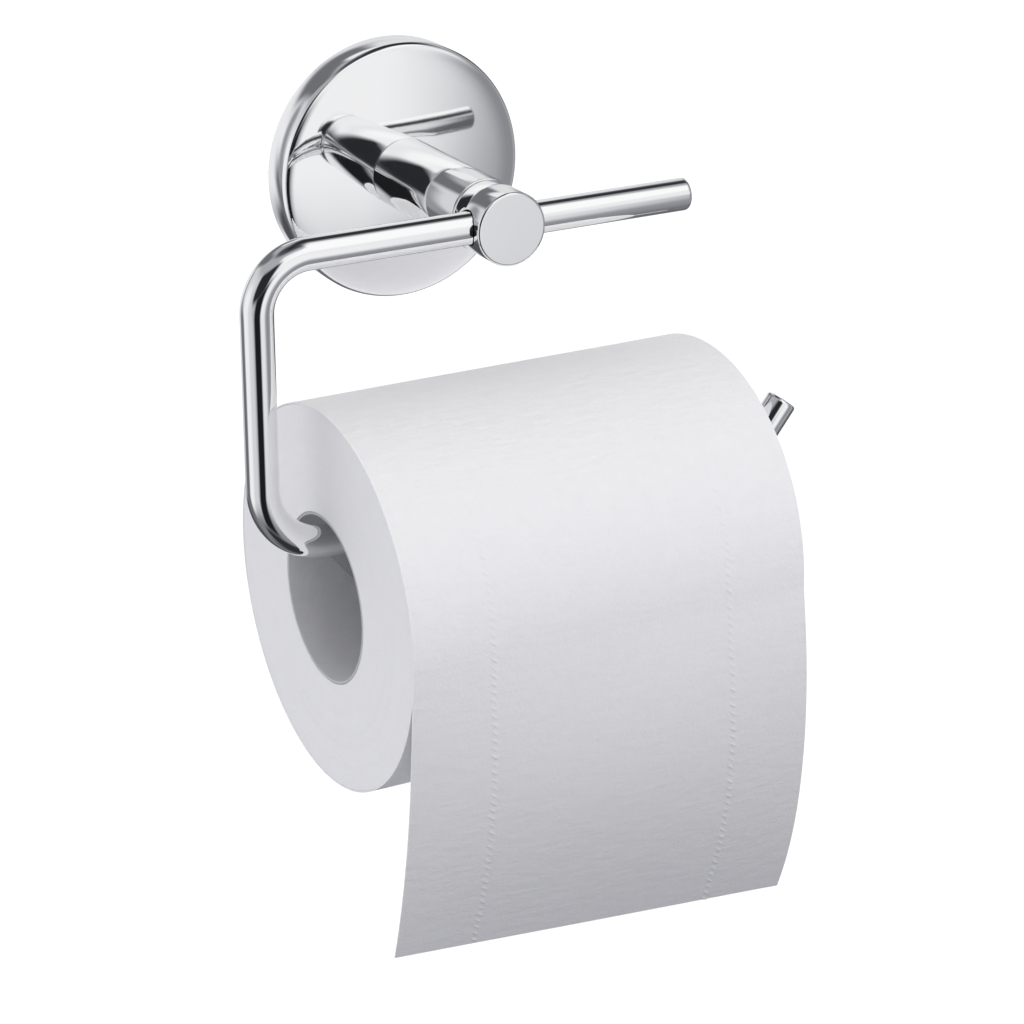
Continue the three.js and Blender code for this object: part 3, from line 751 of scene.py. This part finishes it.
def sheet_point(x, along):
    """A point on the sheet's outer side. Along is negative over the roll and the depth below it.

    Below the roll the sheet leans to one side, bows forward and curls back at its foot."""
    across = (x - ROLL_MIDDLE) / (ROLL_WIDTH / 2)
    soft = SOFT_DEPTH * noise.noise(Vector((x * SOFT_PACE[0], along * SOFT_PACE[1], 2.0)))
    raised = ridge(x, along)
    if along <= 0:
        angle = along / SHEET_OUTER
        radius = SHEET_OUTER + soft + raised
        return Vector((x, ROLL_Y - radius * math.cos(angle), ROLL_Z - radius * math.sin(angle)))
    fall = along / (SHEET_DEPTH + SHEET_SKEW / 2)
    lean = (SHEET_LEAN + SHEET_TWIST * across) * fall * (1 + LEAN_EASE - LEAN_EASE * fall)
    lean *= 1 - math.exp(-fall / LEAN_START)
    curl = (SHEET_CURL + across) * fall ** CURL_POWER
    ripple = RIPPLE_DEPTH * noise.noise(Vector((x * RIPPLE_PACE[0], along * RIPPLE_PACE[1], 5.0))) * fall
    crown = SHEET_CROWN * (1 - across * across) * math.sin(math.pi * min(fall, 1.0)) ** CROWN_POWER
    y = ROLL_Y - SHEET_OUTER + lean + curl + ripple - crown - raised - soft
    return Vector((x, y, ROLL_Z - along))


def thicken(piece, side):
    """Gives the new sheet of paper its thickness, on one side or the other of the mesh."""
    bpy.ops.object.modifier_add(type="SOLIDIFY")
    piece.modifiers[-1].thickness = SHEET_THICKNESS * MM
    piece.modifiers[-1].offset = side
    bpy.ops.object.modifier_apply(modifier=piece.modifiers[-1].name)
    bpy.ops.object.shade_smooth_by_angle(angle=math.radians(SHEET_SMOOTH_ANGLE))
    bpy.ops.object.select_all(action="DESELECT")


# The mesh is finer in the columns and rows where the ridges are.
PLAIN_COLUMNS = 28
PLAIN_ROWS = 90
FINE_ROWS = 680
FINE_STEP = 0.2
FINE_REACH = 1.5
LAST_TURN_START = 176
LAST_TURN_SINK = 0.02
OVER = SHEET_OUTER * math.radians(LAST_TURN_START)
MEAN_DEPTH = SHEET_DEPTH + SHEET_SKEW / 2
even_places = [ROLL_LEFT + ROLL_WIDTH * step / PLAIN_COLUMNS for step in range(PLAIN_COLUMNS + 1)]
sheet_columns = [x for x in even_places if all(abs(x - column) > FINE_REACH for column in RIDGE_COLUMNS)]
sheet_columns += [column + FINE_STEP * step for column in RIDGE_COLUMNS for step in range(-6, 7)]
sheet_columns.sort()
sheet_rows = [-OVER + (OVER + RIDGE_TOP) * step / PLAIN_ROWS for step in range(PLAIN_ROWS)]
sheet_rows += [RIDGE_TOP + (MEAN_DEPTH - RIDGE_TOP) * step / FINE_ROWS for step in range(FINE_ROWS + 1)]
bpy.ops.mesh.primitive_grid_add(
    x_subdivisions=len(sheet_columns) - 1, y_subdivisions=len(sheet_rows) - 1, size=1)
sheet = bpy.context.object
sheet.name = "free_sheet"
for vertex in sheet.data.vertices:
    x = sheet_columns[round((vertex.co.x + 0.5) * (len(sheet_columns) - 1))]
    along = sheet_rows[round((0.5 - vertex.co.y) * (len(sheet_rows) - 1))]
    across = (x - ROLL_MIDDLE) / (ROLL_WIDTH / 2)
    if along > 0:
        along *= (SHEET_DEPTH + SHEET_SKEW * (1 + across) / 2) / MEAN_DEPTH
    vertex.co = sheet_point(x, along) * MM
thicken(sheet, -1)
give(sheet, tissue, None, "tissue_paper", "hanging_sheet")
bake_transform(sheet)

# The last turn starts where the free sheet ends behind the roll, and goes on below it to the front.
bpy.ops.mesh.primitive_grid_add(x_subdivisions=24, y_subdivisions=110, size=1)
turn_piece = bpy.context.object
turn_piece.name = "last_turn"
for vertex in turn_piece.data.vertices:
    x = ROLL_MIDDLE + vertex.co.x * ROLL_WIDTH
    share = 0.5 - vertex.co.y
    angle = math.radians(-LAST_TURN_START - 180 * share)
    radius = SHEET_OUTER - LAST_TURN_SINK * share
    vertex.co = Vector((x, ROLL_Y - radius * math.cos(angle), ROLL_Z - radius * math.sin(angle))) * MM
thicken(turn_piece, 1)
give(turn_piece, tissue, "wrap", "tissue_paper", "outer_wrap")

# ---------------------------------------------------------------------------------------------
# Fixings. A zinc-plated steel bracket, steel screws, bolt, washer, pin and stud, and nylon wall plugs.
# They are hidden behind the flange and inside the post, and keep the shapes of the frame's own solids.
# ---------------------------------------------------------------------------------------------
zinc = metal(
    "zinc_plate", (0.66, 0.67, 0.69), (0.52, 0.53, 0.55), polish=0.28, haze=0.25, bump=0.25, grain=200.0)
screw_steel = metal(
    "screw_steel", (0.70, 0.70, 0.70), (0.58, 0.58, 0.58), polish=0.25, haze=0.2, bump=0.2, grain=300.0)


def moulded(name, light, dark):
    """Moulded plastic: a smoother paper finish with a plain gloss."""
    material = paper_material(name, light, dark, fibre_scale=1200.0, fibre_bump=0.12, roughness=0.55)
    material.node_tree.nodes["Principled BSDF"].inputs["Specular IOR Level"].default_value = 0.5
    return material


nylon = moulded("plug_nylon", (0.62, 0.62, 0.60), (0.54, 0.54, 0.52))
finishes = {
    "wall_bracket": zinc, "bracket_screw_left": screw_steel, "bracket_screw_right": screw_steel,
    "wall_plug_left": nylon, "wall_plug_right": nylon, "flange_set_screw": screw_steel,
    "post_bolt": screw_steel, "post_washer": screw_steel, "locating_pin": screw_steel,
    "head_stud": screw_steel}
for name, material in finishes.items():
    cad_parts[name].data.materials.clear()
    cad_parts[name].data.materials.append(material)
